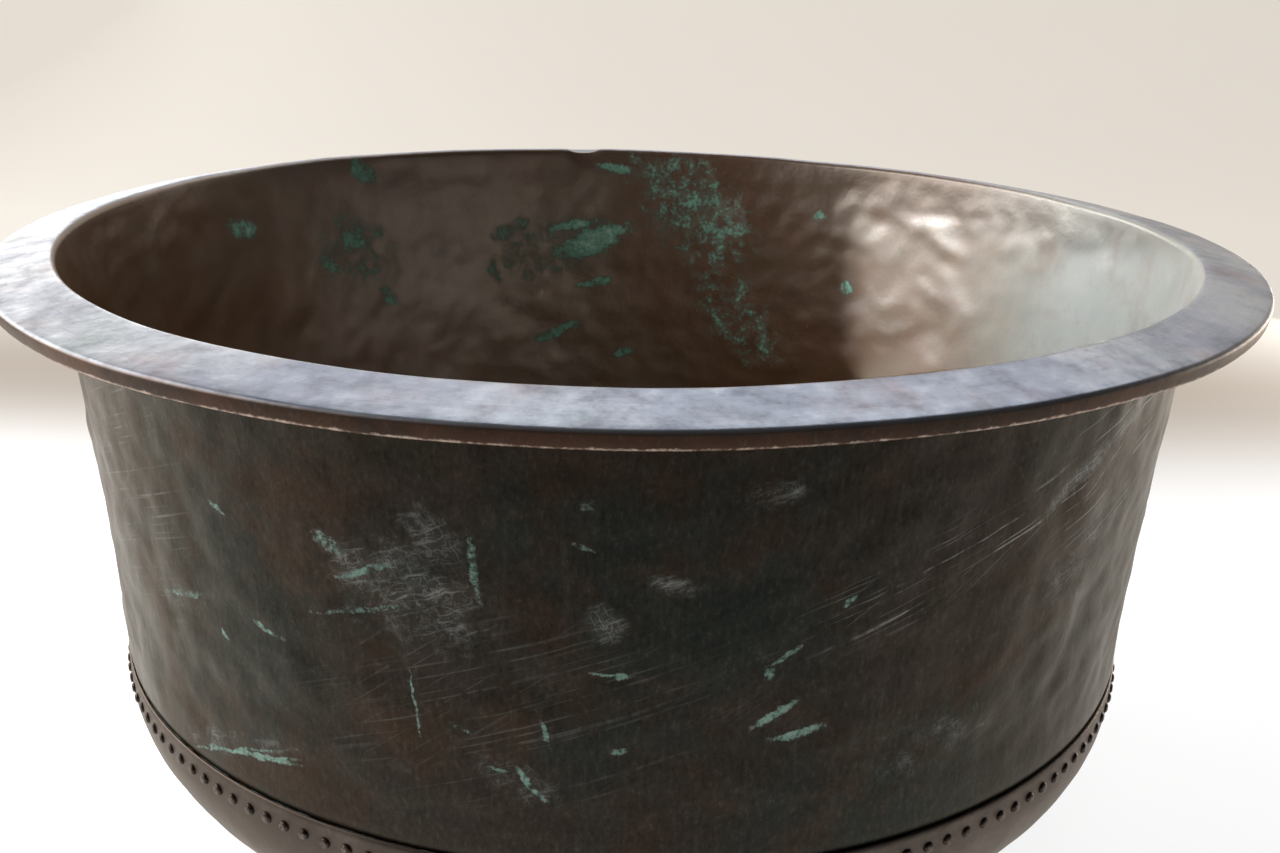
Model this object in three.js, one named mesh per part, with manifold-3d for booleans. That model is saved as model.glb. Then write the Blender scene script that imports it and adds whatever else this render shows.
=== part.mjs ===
// A large riveted copper vat, open at the top and free standing. Millimetres, +Z up, with the origin
// under the middle of the flat on which it stands.
//
// side_wall    one hammered sheet: flared wall, rolled mouth, sloping flange and folded hem
// rim_hoop     flat iron hoop that the hem is folded round
// bottom_pan   dished bottom whose upright edge laps outside the wall
// seam_solder  tin solder run between the two sheets, above the rivets
// rivet_NN     rivets through both sheets; this model holds every third one of the row
import * as THREE from "three";
import { mergeVertices } from "three/addons/utils/BufferGeometryUtils.js";
import Module from "manifold-3d";

const wasm = await Module();
wasm.setup();

// ---------- Driving dimensions ----------
const VAT_HEIGHT = 450; // from the floor to the crest of the rolled mouth
const FLANGE_RADIUS = 469.6; // outermost reach of the hem
const SHEET = 1.9; // thickness of the copper in both sheets
const GAP = 0.3; // clearance kept between a rivet and the sheets
const FACETS = 52; // flat faces round the vat, one for each rivet modelled here

// Wall
const SEAM_HEIGHT = 140; // top edge of the pan, where the lap starts
const LAP_BOTTOM = 120.5; // lower edge of the wall, inside the pan
const LAP_RADIUS = 400.4; // outside of the wall in the lap
const FOOT_HEIGHT = 150; // above the lap the wall steps out, nearly flush with the pan, by this height
const FOOT_RADIUS = 402.3; // outside of the wall at that height
const WALL_FLARE = 5.9; // outward lean of the wall from there to half its height
const WALL_STEPS = 3; // straight steps that make up the wall's curve

// Mouth, flange and hem
const ROLL_RADIUS = 5.5; // top face of the roll between wall and flange
const ROLL_CENTRE = new THREE.Vector2(428, VAT_HEIGHT - ROLL_RADIUS);
const WALL_LEAN = THREE.MathUtils.degToRad(6.3); // wall from upright, where the roll starts
const FLANGE_SLOPE = THREE.MathUtils.degToRad(11); // down towards the outside
const HEM_HEIGHT = 12.3; // outside height of the folded edge
const HEM_CORNER = 3.2; // outside radius of its two folds
const HEM_RETURN = 12; // straight length of the fold's lower leg
const ROLL_STEPS = 3;
const FOLD_STEPS = 1; // each fold of the hem is one chamfer

// Iron hoop
const HOOP_WIDTH = 11;
const HOOP_GAP = 0.4; // clearance all round inside the fold
const HOOP_EASING = 1.2; // eased outer edges, clear of the fold's round corners

// Pan
const KNUCKLE_RADIUS = 105.4; // outside of the round corner between the lap and the bottom
const KNUCKLE_CENTRE = new THREE.Vector2(298.6, 132.2);
const KNUCKLE_START = THREE.MathUtils.degToRad(-10);
const KNUCKLE_END = THREE.MathUtils.degToRad(-78);
const KNUCKLE_STEPS = 4;
const CREASE_HEIGHT = 119; // where the pan steps in, under the lap
const FLAT_RADIUS = 120; // flat on which the vat stands
const DISH_STEPS = 2;

// Solder, in the lap between its upper edge and the rivets
const SOLDER_THICKNESS = 0.4;
const SOLDER_GAP = 0.15; // clearance on each side of it
const SOLDER_BOTTOM = 130.5;
const SOLDER_TOP = 139.7;

// Rivets
const RIVET_HEIGHT = 126.6;
const RIVET_SIDES = 6;
const SHANK_RADIUS = 2.4;
const HEAD_RADIUS = 4.3;
const HEAD_HEIGHT = 2.8;
const DOME_WIDTH = 0.62; // width and height at which the dome turns inwards, as shares of the head's
const DOME_RISE = 0.8;
const TAIL_RADIUS = 3.8; // hammered-over end, inside the vat
const TAIL_HEIGHT = 1.2;

// ---------- Materials ----------
const copper = new THREE.MeshStandardMaterial({ color: 0x3b2a22, roughness: 0.45, metalness: 0.9 });
const panCopper = new THREE.MeshStandardMaterial({ color: 0x5a4a40, roughness: 0.5, metalness: 0.9 });
const rivetCopper = new THREE.MeshStandardMaterial({ color: 0x2c211c, roughness: 0.5, metalness: 0.9 });
const iron = new THREE.MeshStandardMaterial({ color: 0x34302d, roughness: 0.8, metalness: 0.6 });
const solder = new THREE.MeshStandardMaterial({ color: 0x84857f, roughness: 0.6, metalness: 0.7 });

// ---------- Outlines: x is the distance from the vat's axis, y is the height ----------
const point = (radius, height) => new THREE.Vector2(radius, height);
const along = (angle, length) => point(Math.cos(angle) * length, Math.sin(angle) * length);

function arc(centre, radius, startAngle, endAngle, steps) {
  const points = [];
  for (let i = 0; i <= steps; i++) {
    const angle = THREE.MathUtils.lerp(startAngle, endAngle, i / steps);
    points.push(centre.clone().add(along(angle, radius)));
  }
  return points;
}

function bend(start, control, end, steps) {
  return new THREE.QuadraticBezierCurve(start, control, end).getPoints(steps);
}

// One face of a sheet: its middle line moved sideways, with mitred corners. Positive is to the left.
function sheetFace(line, offset) {
  return line.map((here, i) => {
    const before = line[Math.max(i - 1, 0)];
    const after = line[Math.min(i + 1, line.length - 1)];
    const arriving = i > 0 ? here.clone().sub(before).normalize() : null;
    const leaving = i < line.length - 1 ? after.clone().sub(here).normalize() : arriving;
    const mean = leaving.clone().add(arriving ?? leaving).normalize();
    const mitre = offset / mean.dot(leaving);
    return point(here.x - mean.y * mitre, here.y + mean.x * mitre);
  });
}

// Closed outline of a sheet with the given middle line.
function sheetOutline(line) {
  const left = sheetFace(line, SHEET / 2);
  const right = sheetFace(line, -SHEET / 2);
  return [...right, ...left.reverse(), right[0]];
}

// Directions of the sloping flange, and square to it.
const outwards = along(-FLANGE_SLOPE, 1);
const upwards = along(Math.PI / 2 - FLANGE_SLOPE, 1);

// A place in the hem: so far inwards from its outer face, and so far down from its top face.
const flangeStart = ROLL_CENTRE.clone().addScaledVector(upwards, ROLL_RADIUS);
const foldStartRadius = FLANGE_RADIUS - HEM_CORNER + HEM_CORNER * upwards.x;
const flangeLength = (foldStartRadius - flangeStart.x) / outwards.x;
const hemCorner = flangeStart.clone().addScaledVector(outwards, flangeLength + HEM_CORNER);
function inHem(inwards, down) {
  return hemCorner.clone().addScaledVector(outwards, -inwards).addScaledVector(upwards, -down);
}

function wallLine() {
  const half = SHEET / 2;
  const rollMiddle = ROLL_RADIUS - half;
  const foldMiddle = HEM_CORNER - half;
  const crest = Math.PI / 2;
  const overHem = crest - FLANGE_SLOPE;
  const roll = arc(ROLL_CENTRE, rollMiddle, Math.PI - WALL_LEAN, crest, ROLL_STEPS);
  const foot = point(FOOT_RADIUS - half, FOOT_HEIGHT);
  const lean = point(foot.x + WALL_FLARE, (foot.y + roll[0].y) / 2);
  const wall = bend(foot, lean, roll[0], WALL_STEPS);
  const upperFold = inHem(HEM_CORNER, HEM_CORNER);
  const lowerFold = inHem(HEM_CORNER, HEM_HEIGHT - HEM_CORNER);
  return [
    point(LAP_RADIUS - half, LAP_BOTTOM),
    point(LAP_RADIUS - half, SEAM_HEIGHT),
    ...wall,
    ...roll.slice(1),
    ROLL_CENTRE.clone().add(along(overHem, rollMiddle)),
    ...arc(upperFold, foldMiddle, overHem, -FLANGE_SLOPE, FOLD_STEPS),
    ...arc(lowerFold, foldMiddle, -FLANGE_SLOPE, overHem - Math.PI, FOLD_STEPS),
    inHem(HEM_CORNER + HEM_RETURN, HEM_HEIGHT - half),
  ];
}

function hoopOutline() {
  const inset = SHEET + HOOP_GAP;
  const eased = inset + HOOP_EASING;
  const corners = [
    inHem(eased, inset),
    inHem(inset + HOOP_WIDTH, inset),
    inHem(inset + HOOP_WIDTH, HEM_HEIGHT - inset),
    inHem(eased, HEM_HEIGHT - inset),
    inHem(inset, HEM_HEIGHT - eased),
    inHem(inset, eased),
  ];
  return [...corners, corners[0]];
}

const solderInside = LAP_RADIUS + SOLDER_GAP;
const panInside = solderInside + SOLDER_THICKNESS + SOLDER_GAP;
const panOutside = panInside + SHEET;

function solderOutline() {
  const outside = solderInside + SOLDER_THICKNESS;
  return [
    point(solderInside, SOLDER_BOTTOM),
    point(outside, SOLDER_BOTTOM),
    point(outside, SOLDER_TOP),
    point(solderInside, SOLDER_TOP),
    point(solderInside, SOLDER_BOTTOM),
  ];
}

// The pan's middle line, from the axis outwards and up to its edge.
function panLine() {
  const half = SHEET / 2;
  const knuckle = arc(KNUCKLE_CENTRE, KNUCKLE_RADIUS - half, KNUCKLE_END, KNUCKLE_START, KNUCKLE_STEPS);
  const flatEdge = point(FLAT_RADIUS, half);
  const dishSlope = Math.tan(Math.PI / 2 + KNUCKLE_END);
  const dishMiddle = (flatEdge.x + knuckle[0].x) / 2;
  const dishControl = point(dishMiddle, knuckle[0].y - (knuckle[0].x - dishMiddle) * dishSlope);
  return [
    point(0, half),
    ...bend(flatEdge, dishControl, knuckle[0], DISH_STEPS),
    ...knuckle.slice(1),
    point(panOutside - half, CREASE_HEIGHT),
    point(panOutside - half, SEAM_HEIGHT),
  ];
}

// Closed outline of the pan, which starts and ends on the axis.
function panOutline() {
  return sheetOutline(panLine()).slice(0, -1);
}

// ---------- Solids ----------
function turned(outline, facets = FACETS) {
  return new THREE.LatheGeometry(outline, facets).rotateX(Math.PI / 2);
}

function toSolid(geometry) {
  const bare = geometry.clone();
  bare.deleteAttribute("normal");
  bare.deleteAttribute("uv");
  const merged = mergeVertices(bare);
  const vertProperties = new Float32Array(merged.attributes.position.array);
  const triVerts = new Uint32Array(merged.index.array);
  return new wasm.Manifold(new wasm.Mesh({ numProp: 3, vertProperties, triVerts }));
}

function toGeometry(solid) {
  const mesh = solid.getMesh();
  const geometry = new THREE.BufferGeometry();
  geometry.setAttribute("position", new THREE.BufferAttribute(mesh.vertProperties, 3));
  geometry.setIndex(new THREE.BufferAttribute(mesh.triVerts, 1));
  geometry.computeVertexNormals();
  return geometry;
}

// The middle of a flat face is nearer the axis than its corners, which carry the named radii.
const faceMiddle = Math.cos(Math.PI / FACETS);
const headSeat = panOutside * faceMiddle + GAP;
const tailSeat = (LAP_RADIUS - SHEET) * faceMiddle - GAP;

// Puts a solid of revolution about Z onto the vat, its axis pointing out through the given face.
function atRivet(geometry, face) {
  const angle = ((face + 0.5) * 2 * Math.PI) / FACETS;
  return geometry.rotateY(Math.PI / 2).rotateZ(angle).translate(0, 0, RIVET_HEIGHT);
}

function rivetGeometry(face) {
  const outline = [
    point(0, tailSeat - TAIL_HEIGHT),
    point(TAIL_RADIUS, tailSeat - TAIL_HEIGHT),
    point(TAIL_RADIUS, tailSeat),
    point(SHANK_RADIUS, tailSeat),
    point(SHANK_RADIUS, headSeat),
    point(HEAD_RADIUS, headSeat),
    point(HEAD_RADIUS * DOME_WIDTH, headSeat + HEAD_HEIGHT * DOME_RISE),
    point(0, headSeat + HEAD_HEIGHT),
  ];
  return atRivet(turned(outline, RIVET_SIDES), face);
}

// The rivet holes of both sheets, as one solid to cut away.
function rivetHoles() {
  const radius = SHANK_RADIUS + GAP;
  const outline = [
    point(0, tailSeat - TAIL_HEIGHT),
    point(radius, tailSeat - TAIL_HEIGHT),
    point(radius, headSeat + HEAD_HEIGHT),
    point(0, headSeat + HEAD_HEIGHT),
  ];
  const holes = [];
  for (let face = 0; face < FACETS; face++) {
    holes.push(toSolid(atRivet(turned(outline, RIVET_SIDES), face)));
  }
  return wasm.Manifold.union(holes);
}

// ---------- Assembly ----------
const vat = new THREE.Group();
vat.name = "riveted_copper_vat";

function addPiece(name, geometry, material) {
  const mesh = new THREE.Mesh(geometry, material);
  mesh.name = name;
  vat.add(mesh);
}

const holes = rivetHoles();
const wall = toSolid(turned(sheetOutline(wallLine()))).subtract(holes);
const pan = toSolid(turned(panOutline())).subtract(holes);

addPiece("side_wall", toGeometry(wall), copper);
addPiece("bottom_pan", toGeometry(pan), panCopper);
addPiece("rim_hoop", turned(hoopOutline()), iron);
addPiece("seam_solder", turned(solderOutline()), solder);
for (let face = 0; face < FACETS; face++) {
  const number = String(face + 1).padStart(2, "0");
  addPiece("rivet_" + number, rivetGeometry(face), rivetCopper);
}

export default vat;
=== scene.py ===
"""Looks of a large riveted copper vat: hammered sheets, rivets, hem, hoop, solder and their patina."""

import math

import bpy
import numpy as np
from mathutils import Matrix, Vector, noise


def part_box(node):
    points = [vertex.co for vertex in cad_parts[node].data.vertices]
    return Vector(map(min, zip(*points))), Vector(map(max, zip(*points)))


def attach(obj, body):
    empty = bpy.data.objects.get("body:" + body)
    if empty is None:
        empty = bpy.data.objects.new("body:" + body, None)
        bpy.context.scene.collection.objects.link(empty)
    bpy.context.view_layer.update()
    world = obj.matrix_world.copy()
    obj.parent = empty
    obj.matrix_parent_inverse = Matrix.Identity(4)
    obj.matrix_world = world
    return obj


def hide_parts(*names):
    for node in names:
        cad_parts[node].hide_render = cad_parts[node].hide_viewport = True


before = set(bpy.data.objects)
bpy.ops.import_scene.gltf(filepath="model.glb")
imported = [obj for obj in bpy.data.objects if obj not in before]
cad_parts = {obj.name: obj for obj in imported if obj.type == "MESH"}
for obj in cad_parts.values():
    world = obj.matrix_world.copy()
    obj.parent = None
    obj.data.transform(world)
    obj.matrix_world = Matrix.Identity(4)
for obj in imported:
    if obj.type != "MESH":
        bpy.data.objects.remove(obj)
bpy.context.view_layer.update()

# ---------- Sizes, in metres, read from the frame where a node shows them ----------
MM = 0.001
FLAT_WALL_RADIUS = 0.41  # at which the wall is laid flat for its marks
WALL_LOW, WALL_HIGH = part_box("side_wall")
_, PAN_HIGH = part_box("bottom_pan")
SOLDER_LOW, SOLDER_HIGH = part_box("seam_solder")
RIVET_LOW, RIVET_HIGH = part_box("rivet_01")

VAT_HEIGHT = round(WALL_HIGH.z, 4)
FLANGE_RADIUS = round(WALL_HIGH.x, 4)
LAP_BOTTOM = WALL_LOW.z
SEAM_HEIGHT = PAN_HIGH.z
PAN_RADIUS = PAN_HIGH.x
RIVET_HEIGHT = (RIVET_LOW.z + RIVET_HIGH.z) / 2

SHEET = 1.9 * MM
ROUNDED_END = 0.4 * MM  # left for the round end of the pan's edge
LAP_GAP = 0.7 * MM  # between the two sheets, where the solder lies
LAP_RADIUS = PAN_RADIUS - SHEET - LAP_GAP
FOOT_HEIGHT = 150 * MM
FOOT_RADIUS = 402.3 * MM
FOOT_EASE = 5 * MM  # how far below the foot the wall starts to turn upright
WALL_FLARE = 5.9 * MM
WALL_LEAN = math.radians(6.3)
ROLL_RADIUS = 5.5 * MM
ROLL_CENTRE = np.array([428 * MM, VAT_HEIGHT - ROLL_RADIUS])
FLANGE_SLOPE = math.radians(11)
HEM_HEIGHT = 12.3 * MM
HEM_CORNER = 3.2 * MM
HEM_RETURN = 12 * MM
HOOP_GAP = 0.4 * MM
HOOP_INSET = SHEET + HOOP_GAP
HOOP_WIDTH = 11 * MM
HOOP_EASING = 1.4 * MM
PIT_SIZE = 6 * MM
PIT_DEPTH = 0.25 * MM
SOLDER_GAP = 0.15 * MM
SOLDER_BEVEL = 0.8 * MM
SOLDER_UNEVEN = 1.2 * MM

KNUCKLE_RADIUS = 105.4 * MM
KNUCKLE_CENTRE = np.array([298.6, 132.2]) * MM
KNUCKLE_START = math.radians(-10)
KNUCKLE_END = math.radians(-78)
CREASE_HEIGHT = 119 * MM
FLAT_RADIUS = 120 * MM

CAD_RIVETS = [name for name in sorted(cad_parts) if name.startswith("rivet_")]
RIVETS_PER_NODE = 3
RIVET_COUNT = RIVETS_PER_NODE * len(CAD_RIVETS)
SHANK_RADIUS = 2.4 * MM
HEAD_RADIUS = 4.3 * MM
HEAD_HEIGHT = 2.8 * MM
TAIL_RADIUS = 3.8 * MM
TAIL_HEIGHT = 1.2 * MM

AROUND = 480  # mesh columns round the vat
RIVET_SIDES = 14
CENTRE_HOLE = 0.05 * MM  # a mesh closes with a small flat face at the axis, not with a point
AXIS_HOLE = 0.01 * MM


# ---------- Outlines: each row is (distance from the axis, height) ----------
def along(angle):
    return np.array([math.cos(angle), math.sin(angle)])


def arc(centre, radius, start, end, steps):
    return np.array([centre + radius * along(start + (end - start) * i / steps) for i in range(steps + 1)])


def bend(start, control, end, steps):
    t = np.linspace(0, 1, steps + 1)[:, None]
    return (1 - t) ** 2 * start + 2 * t * (1 - t) * control + t**2 * end


def straight(start, end, steps):
    t = np.linspace(0, 1, steps + 1)[:, None]
    return (1 - t) * start + t * end


def run_together(*runs):
    """One line from several, without the points that they share."""
    return np.vstack([runs[0]] + [run[1:] for run in runs[1:]])


def lengths(line):
    steps = np.hypot(*np.diff(line, axis=0).T)
    return np.concatenate([[0], np.cumsum(steps)])


def left_normals(line):
    tangent = np.gradient(line, axis=0)
    tangent /= np.hypot(*tangent.T)[:, None]
    return np.stack([-tangent[:, 1], tangent[:, 0]], axis=1)


def smooth(value, low, high):
    t = np.clip((value - low) / (high - low), 0, 1)
    return t * t * (3 - 2 * t)


OUTWARDS = along(-FLANGE_SLOPE)
UPWARDS = along(math.pi / 2 - FLANGE_SLOPE)


def in_hem(inwards, down):
    """A place in the hem, measured from the outer corner that its two outside faces would meet in."""
    start = ROLL_CENTRE + ROLL_RADIUS * UPWARDS
    reach = FLANGE_RADIUS - HEM_CORNER + HEM_CORNER * UPWARDS[0] - start[0]
    corner = start + (reach / OUTWARDS[0] + HEM_CORNER) * OUTWARDS
    return corner - inwards * OUTWARDS - down * UPWARDS


def wall_line():
    """Middle line of the wall sheet: lap, wall, roll, flange and hem. Also the lengths where each ends."""
    half = SHEET / 2
    over_hem = math.pi / 2 - FLANGE_SLOPE
    roll = arc(ROLL_CENTRE, ROLL_RADIUS - half, math.pi - WALL_LEAN, over_hem, 8)
    seam = np.array([LAP_RADIUS - half, SEAM_HEIGHT])
    foot = np.array([FOOT_RADIUS - half, FOOT_HEIGHT])
    control = np.array([foot[0] + WALL_FLARE, (foot[1] + roll[0][1]) / 2])
    ease = foot + (foot - control) / np.hypot(*(foot - control)) * FOOT_EASE
    upper = arc(in_hem(HEM_CORNER, HEM_CORNER), HEM_CORNER - half, over_hem, -FLANGE_SLOPE, 4)
    lower_centre = in_hem(HEM_CORNER, HEM_HEIGHT - HEM_CORNER)
    lower = arc(lower_centre, HEM_CORNER - half, -FLANGE_SLOPE, over_hem - math.pi, 4)
    end = in_hem(HEM_CORNER + HEM_RETURN, HEM_HEIGHT - half)
    runs = {
        "lap": straight(np.array([LAP_RADIUS - half, LAP_BOTTOM]), seam, 4),
        "foot": bend(seam, ease, foot, 4),
        "wall": bend(foot, control, roll[0], 62),
        "roll": roll,
        "flange": straight(roll[-1], upper[0], 8),
        "upper fold": upper,
        "edge": straight(upper[-1], lower[0], 2),
        "lower fold": lower,
        "return": straight(lower[-1], end, 3),
    }
    ends, total = {}, 0
    for name, run in runs.items():
        total += lengths(run)[-1]
        ends[name] = total
    return run_together(*runs.values()), ends


def pan_line():
    """Middle line of the pan, from near its centre outwards and up to its edge."""
    half = SHEET / 2
    knuckle = arc(KNUCKLE_CENTRE, KNUCKLE_RADIUS - half, KNUCKLE_END, KNUCKLE_START, 24)
    flat_edge = np.array([FLAT_RADIUS, half])
    slope = math.tan(math.pi / 2 + KNUCKLE_END)
    middle = (flat_edge[0] + knuckle[0][0]) / 2
    control = np.array([middle, knuckle[0][1] - (knuckle[0][0] - middle) * slope])
    dish = bend(flat_edge, control, knuckle[0], 26)
    eased = 6  # steps of the dish that are rounded off into the flat
    flat_end = flat_edge - [dish[eased][0] - flat_edge[0], 0]
    crease = np.array([PAN_RADIUS - half, CREASE_HEIGHT])
    top = np.array([PAN_RADIUS - half, SEAM_HEIGHT - ROUNDED_END])
    return run_together(
        straight(np.array([CENTRE_HOLE, half]), flat_end, 12),
        bend(flat_end, flat_edge, dish[eased], 10),
        dish[eased:],
        knuckle,
        straight(knuckle[-1], crease, 3),
        straight(crease, top, 5),
    )


# ---------- Hammer work: how far a sheet is moved along its own normal ----------
MARK_REACH = 0.75  # of a hammer mark, in cells
MARK_MIDDLE = 0.4  # share of a mark's depth that lies below the sheet
NOTCH_ANGLE = math.radians(97.5)
NOTCH_WIDTH = 15 * MM
NOTCH_DEPTH = 4.0 * MM
DENTS = 70
OVAL = 1.0 * MM  # half the difference between the rim's largest and smallest radius
OVAL_ANGLE = math.radians(-112)  # of the rim's largest radius
SADDLE = 2.0 * MM
SADDLE_PHASE = math.radians(-30)
SAG = 0.5 * MM


def planished(place, cell, depth):
    """Shallow overlapping marks of a hammer, about one cell apart."""
    distance = min(noise.voronoi(place / cell)[0][0], MARK_REACH)
    return depth * (distance**2 / MARK_REACH**2 - MARK_MIDDLE)


def wavy(place, size, depth):
    return depth * noise.noise(place / size)


def surface_points(line, angles):
    radius = line[:, 0][None, :]
    x = np.cos(angles)[:, None] * radius
    y = np.sin(angles)[:, None] * radius
    z = np.broadcast_to(line[:, 1][None, :], x.shape)
    return np.stack([x, y, z], axis=2)


def at_each(points, function):
    flat = points.reshape(-1, 3)
    values = np.fromiter((function(Vector(p)) for p in flat), float, len(flat))
    return values.reshape(points.shape[:2])


def turn_between(angles, centre):
    """Angle from a centre, in radians, wrapped to within half a turn."""
    return (angles - centre + math.pi) % (2 * math.pi) - math.pi


def wall_shift(line, ends, angles):
    points = surface_points(line, angles)
    length = lengths(line)[None, :]
    theta = angles[:, None]
    held = smooth(length, ends["foot"], ends["foot"] + 0.03)
    on_wall = held * (1 - smooth(length, ends["wall"] - 0.02, ends["wall"] + 0.002))

    marks = at_each(points, lambda p: planished(p, 0.022, 0.55 * MM))
    ripples = at_each(points, lambda p: wavy(p, 0.016, 0.80 * MM) + wavy(p, 0.042, 1.3 * MM))
    swells = at_each(points, lambda p: wavy(p, 0.15, 1.6 * MM))
    shift = on_wall * (marks + ripples + swells)

    chance = np.random.RandomState(11)
    for _ in range(DENTS):
        centre = chance.uniform(-math.pi, math.pi)
        height = chance.uniform(SEAM_HEIGHT + 0.03, VAT_HEIGHT - 0.03)
        size = chance.uniform(0.010, 0.026)
        depth = chance.choice([1, 1, -1]) * chance.uniform(0.5, 1.3) * MM
        across = turn_between(theta, centre) * line[:, 0][None, :]
        down = line[:, 1][None, :] - height
        shift = shift + on_wall * depth * np.exp(-(across**2 + down**2) / size**2)

    # The rolled edge was knocked down at one place at the back.
    on_roll = np.exp(-(((length - ends["roll"] + 0.002) / 0.010) ** 2))
    notch = np.exp(-((turn_between(theta, NOTCH_ANGLE) * FLANGE_RADIUS / NOTCH_WIDTH) ** 4))
    shift = shift - on_roll * NOTCH_DEPTH * notch

    # The flange keeps small marks, clear of the hoop underneath.
    on_flange = smooth(length, ends["wall"], ends["roll"])
    on_flange = on_flange * (1 - smooth(length, ends["flange"], ends["edge"]))
    dip = at_each(points, lambda p: abs(noise.noise(p / 0.05)))
    return shift - on_flange * 0.3 * MM * dip


def strain(angles, heights):
    """How far each height of the wall is pushed inwards and down. The rim is oval and not quite flat."""
    share = np.clip((heights - SEAM_HEIGHT) / (VAT_HEIGHT - SEAM_HEIGHT), 0, 1)
    oval = 1 - np.cos(2 * (angles - OVAL_ANGLE))
    saddle = 1 + np.sin(2 * angles + SADDLE_PHASE)
    sag = 0.5 * (1 + np.sin(7 * angles)) + 0.35 * (1 + np.sin(17 * angles + 2))
    return share * OVAL * oval, share * (SADDLE * saddle + SAG * sag)


def pan_shift(line, angles):
    points = surface_points(line, angles)
    length = lengths(line)[None, :]
    free = 1 - smooth(line[:, 1][None, :], CREASE_HEIGHT - 0.02, CREASE_HEIGHT - 0.002)
    marks = at_each(points, lambda p: planished(p, 0.030, 0.5 * MM))
    ripples = at_each(points, lambda p: wavy(p, 0.07, 1.0 * MM))
    shift = free * (marks + ripples)
    low = smooth(length, FLAT_RADIUS - 0.03, FLAT_RADIUS + 0.06)
    return shift * low + (1 - low) * np.maximum(marks, 0) * 0.6


# ---------- Meshes ----------
def add_mesh(name, points, faces, material):
    mesh = bpy.data.meshes.new(name)
    mesh.from_pydata(points.tolist(), [], faces)
    mesh.validate()
    mesh.polygons.foreach_set("use_smooth", [True] * len(mesh.polygons))
    mesh.materials.append(material)
    piece = bpy.data.objects.new(name, mesh)
    bpy.context.scene.collection.objects.link(piece)
    return piece


def give_values(piece, **values):
    """Numbers held at each vertex, which the material reads by name."""
    for name, numbers in values.items():
        attribute = piece.data.attributes.new(name, "FLOAT", "POINT")
        attribute.data.foreach_set("value", np.ascontiguousarray(numbers, np.float32).ravel())


def ring_faces(columns, rows, closed_rows):
    """Quads of a grid that closes round its columns, and along its rows too if asked."""
    faces = []
    last = rows if closed_rows else rows - 1
    for i in range(columns):
        after = (i + 1) % columns
        for j in range(last):
            up = (j + 1) % rows
            faces.append((i * rows + j, after * rows + j, after * rows + up, i * rows + up))
    return faces


def end_caps(columns, rows, start):
    """Faces that close a grid whose rows are open, at its first row and its last."""
    first = tuple(start + i * rows for i in range(columns))
    last = tuple(start + i * rows + rows - 1 for i in range(columns))
    return [first[::-1], last]


def turned(outline, angles):
    return surface_points(outline, angles).reshape(-1, 3)


def sheet_points(line, angles, shift, strained=True):
    """Both faces of a sheet and its rounded ends, as a grid of columns by places round its section."""
    normal = left_normals(line)
    tangent = np.stack([normal[:, 1], -normal[:, 0]], axis=1)
    half = SHEET / 2
    middle = line[None] + shift[:, :, None] * normal[None]
    right = middle - half * normal[None]
    left = middle + half * normal[None]
    far_end = middle[:, -1:] + 0.7 * half * tangent[None, -1:]
    near_end = middle[:, :1] - 0.7 * half * tangent[None, :1]
    section = np.concatenate([right, far_end, left[:, ::-1], near_end], axis=1)
    if strained:
        inwards, down = strain(angles[:, None], section[:, :, 1])
        section = section - np.stack([inwards, down], axis=2)
    x = np.cos(angles)[:, None] * section[:, :, 0]
    y = np.sin(angles)[:, None] * section[:, :, 0]
    return np.stack([x, y, section[:, :, 1]], axis=2)


def round_section(per_station_right, far, per_station_left, near, columns):
    """A value for each place round a sheet's section, repeated for every column."""
    row = np.concatenate([per_station_right, [far], per_station_left[::-1], [near]])
    return np.broadcast_to(row, (columns, len(row)))


def angles_round(count):
    return np.arange(count) * 2 * math.pi / count


# ---------- Marks on the wall ----------
# Each is an angle in degrees (-90 is the front, 90 the back), a height, half a length and half a width
# in millimetres, a tilt in degrees (up to the right, for someone who faces the mark) and a strength.
VERDIGRIS_SPOTS = [
    (96.5, 349, 42, 14, 20, 1.00),
    (99.5, 366, 28, 5, 10, 0.90),
    (96, 304, 18, 5, 9, 0.90),
    (101.5, 250, 28, 6, 22, 0.85),
    (91.5, 224, 12, 5, 19, 0.75),
    (93, 427, 20, 5, -7, 0.75),
    (109, 362, 24, 9, 24, 0.60),
    (111.5, 320, 14, 6, -65, 0.55),
    (131, 433, 15, 9, -31, 0.80),
    (151.5, 396, 20, 9, -15, 0.80),
    (133, 367, 18, 9, -31, 0.70),
    (137.5, 345, 17, 7, -33, 0.60),
    (128.5, 305, 15, 6, -40, 0.75),
    (56.5, 319, 8, 7, 0, 0.75),
    (62, 391, 6, 5, 0, 0.60),
    (-60, 330, 30, 14, 15, 0.70),
    (-118, 280, 24, 12, -20, 0.70),
    (-172, 240, 26, 10, 30, 0.65),
    (14, 300, 18, 9, -10, 0.55),
]
VERDIGRIS_FIELDS = [
    (81, 390, 85, 48, -36, 0.50),
    (74, 280, 85, 38, -50, 0.37),
    (133, 355, 55, 40, -35, 0.34),
    (103, 340, 70, 40, 10, 0.30),
    (-90, 300, 120, 60, 0, 0.36),
    (-165, 300, 90, 60, 20, 0.34),
]
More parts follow.
